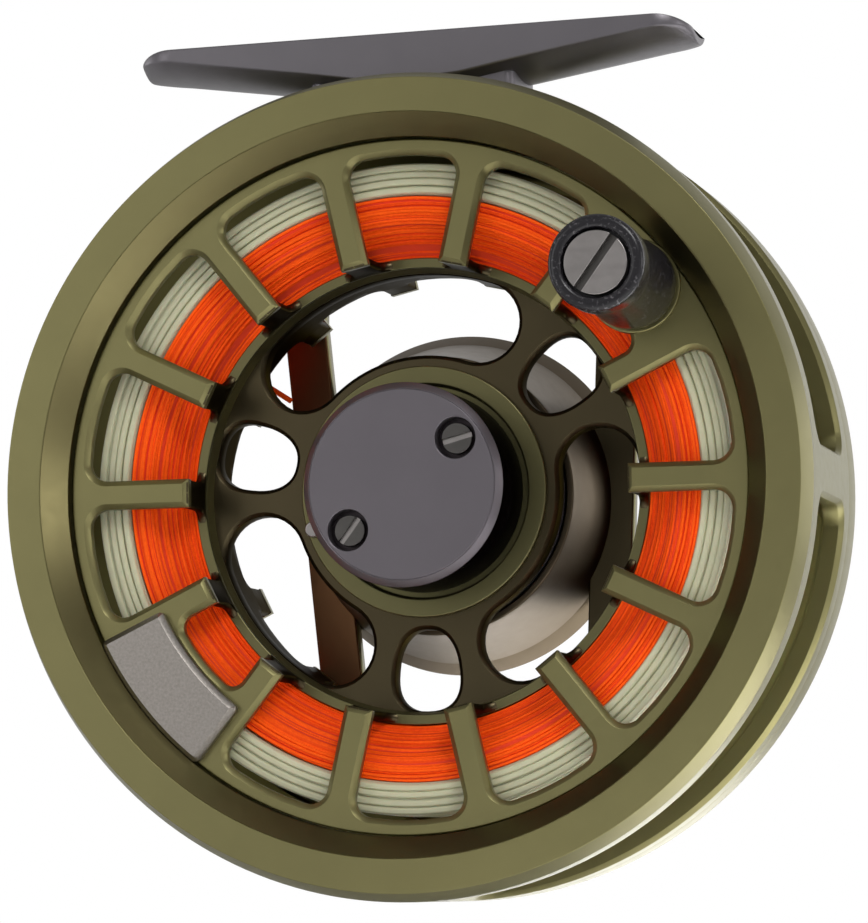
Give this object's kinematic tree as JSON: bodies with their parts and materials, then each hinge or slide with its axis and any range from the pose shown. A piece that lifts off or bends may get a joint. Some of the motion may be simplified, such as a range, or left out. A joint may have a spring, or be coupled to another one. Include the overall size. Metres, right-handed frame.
{
  "type": "fly fishing reel",
  "caption": "Full-cage fly fishing reel with a ported large-arbor spool wound with backing and line, a sealed disc drag, a rear drag knob and a reel foot.",
  "frame": {"origin": "middle of the flat floor of the reel foot's saddle, where the foot meets the rod's reel seat", "axes": "+Z out of the saddle towards the rod, X along the foot and the rod, Y along the spool axis with the handle side facing -Y"},
  "size_m": [0.092, 0.058, 0.0982],
  "materials": {
    "olive_anodised": "fine bead-blasted olive anodising, satin",
    "foot_anodised": "dark grey anodising, satin",
    "black_anodised": "black anodising, satin",
    "steel": "turned stainless steel",
    "brass": "turned brass",
    "weight_steel": "grey matte steel with bright edges",
    "knob_plastic": "black, slightly glossy",
    "carbon": "woven carbon friction facing",
    "seal_rubber": "black nitrile",
    "acetal": "white acetal",
    "backing_dacron": "braided orange polyester",
    "line_pvc": "sage coated fly line"
  },
  "bodies": {
    "cage": {"frame": "olive_anodised", "reel_foot": "foot_anodised", "foot_screw_1": "steel", "foot_screw_2": "steel", "foot_screw_3": "steel", "spindle": "steel", "spindle_nut": "steel", "drag_cover": "black_anodised", "cover_seal": "seal_rubber", "pawl_pin": "steel", "pawl_spring": "steel", "steel_disc_1": "steel", "steel_disc_2": "steel", "knob_seal": "seal_rubber", "detent_spring": "steel", "rear_bearing_inner": "steel"},
    "rotor": {"drag_rotor": "steel", "click_wheel": "brass", "rear_bearing_outer": "steel"},
    "spool_assembly": {"spool_front_flange": "olive_anodised", "spool_back_flange": "olive_anodised", "spool_core": "olive_anodised", "backing": "backing_dacron", "backing_tag": "backing_dacron", "fly_line": "line_pvc", "front_bearing_outer": "steel", "center_cap": "black_anodised", "cap_screw_1": "steel", "cap_screw_2": "steel", "latch_spring": "steel", "handle_post": "steel", "handle_screw": "steel", "handle_washer": "acetal", "counterweight": "weight_steel", "weight_screw_1": "steel", "weight_screw_2": "steel"},
    "latch": {"release_latch": "steel"},
    "grip": {"handle_knob": "knob_plastic", "handle_bush": "brass"},
    "front_inner_race": {"front_bearing_inner": "steel"},
    "front_balls": {"front_bearing_balls": "steel"},
    "rear_balls": {"rear_bearing_balls": "steel"},
    "clutch_cage": {"clutch_rollers": "steel"},
    "brake": {"brake_hub": "brass", "clutch_shell": "steel", "carbon_disc_1": "carbon", "carbon_disc_2": "carbon", "carbon_disc_3": "carbon"},
    "pressure_group": {"pressure_plate": "steel", "disc_spring_1": "steel", "disc_spring_2": "steel", "push_pin_1": "steel", "push_pin_2": "steel", "push_pin_3": "steel", "thrust_ring": "brass"},
    "knob": {"drag_knob": "black_anodised", "knob_screw": "steel"},
    "pawl": {"click_pawl": "steel"},
    "detent": {"detent_ball": "steel"}
  },
  "joints": [
    {"name": "spool_spin", "type": "hinge", "parent": "cage", "child": "rotor", "pos_m": [0, 0.003, -0.0504], "axis": [0, 1, 0], "continuous": true},
    {"name": "spool_release", "type": "slide", "parent": "rotor", "child": "spool_assembly", "axis": [0, -1, 0], "range_m": [0, 0.05]},
    {"name": "latch_press", "type": "slide", "parent": "spool_assembly", "child": "latch", "axis": [0.9588, 0, 0.284], "range_m": [0, 0.0014], "stiffness_N_per_m": 300, "springref_m": -0.001, "deforming": ["latch_spring"]},
    {"name": "handle_spin", "type": "hinge", "parent": "spool_assembly", "child": "grip", "pos_m": [0.02666, -0.023, -0.0298], "axis": [0, 1, 0], "continuous": true},
    {"name": "front_inner_race_turn", "type": "hinge", "parent": "spool_assembly", "child": "front_inner_race", "pos_m": [0, -0.0007, -0.0504], "axis": [0, 1, 0], "continuous": true},
    {"name": "front_balls_turn", "type": "hinge", "parent": "spool_assembly", "child": "front_balls", "pos_m": [0, -0.0007, -0.0504], "axis": [0, 1, 0], "continuous": true},
    {"name": "rear_balls_turn", "type": "hinge", "parent": "cage", "child": "rear_balls", "pos_m": [0, 0.0074, -0.0504], "axis": [0, 1, 0], "continuous": true},
    {"name": "clutch_cage_turn", "type": "hinge", "parent": "cage", "child": "clutch_cage", "pos_m": [0, 0.0073, -0.0504], "axis": [0, 1, 0], "continuous": true},
    {"name": "brake_slip", "type": "hinge", "parent": "cage", "child": "brake", "pos_m": [0, 0.0073, -0.0504], "axis": [0, 1, 0], "continuous": true},
    {"name": "drag_knob_turn", "type": "hinge", "parent": "cage", "child": "knob", "pos_m": [0, 0.0207, -0.0504], "axis": [0, 1, 0], "range_deg": [0, 330]},
    {"name": "drag_pressure", "type": "slide", "parent": "cage", "child": "pressure_group", "axis": [0, -1, 0], "range_m": [0, 0.0002]},
    {"name": "pawl_swing", "type": "hinge", "parent": "cage", "child": "pawl", "pos_m": [-0.00635, 0.004, -0.03941], "axis": [0, 1, 0], "range_deg": [-12, 12], "stiffness_Nm_per_rad": 0.0002},
    {"name": "detent_dip", "type": "slide", "parent": "cage", "child": "detent", "axis": [0, 1, 0], "range_m": [-0.0003, 0], "stiffness_N_per_m": 300, "springref_m": 0.0005}
  ],
  "couplings": [
    {"joint": "front_inner_race_turn", "follows": "spool_spin", "ratio": -1},
    {"joint": "front_balls_turn", "follows": "spool_spin", "ratio": -0.62},
    {"joint": "rear_balls_turn", "follows": "spool_spin", "ratio": 0.41},
    {"joint": "clutch_cage_turn", "follows": "spool_spin", "ratio": 0.47},
    {"joint": "drag_knob_turn", "follows": "drag_pressure", "rad_per_m": 28797}
  ]
}
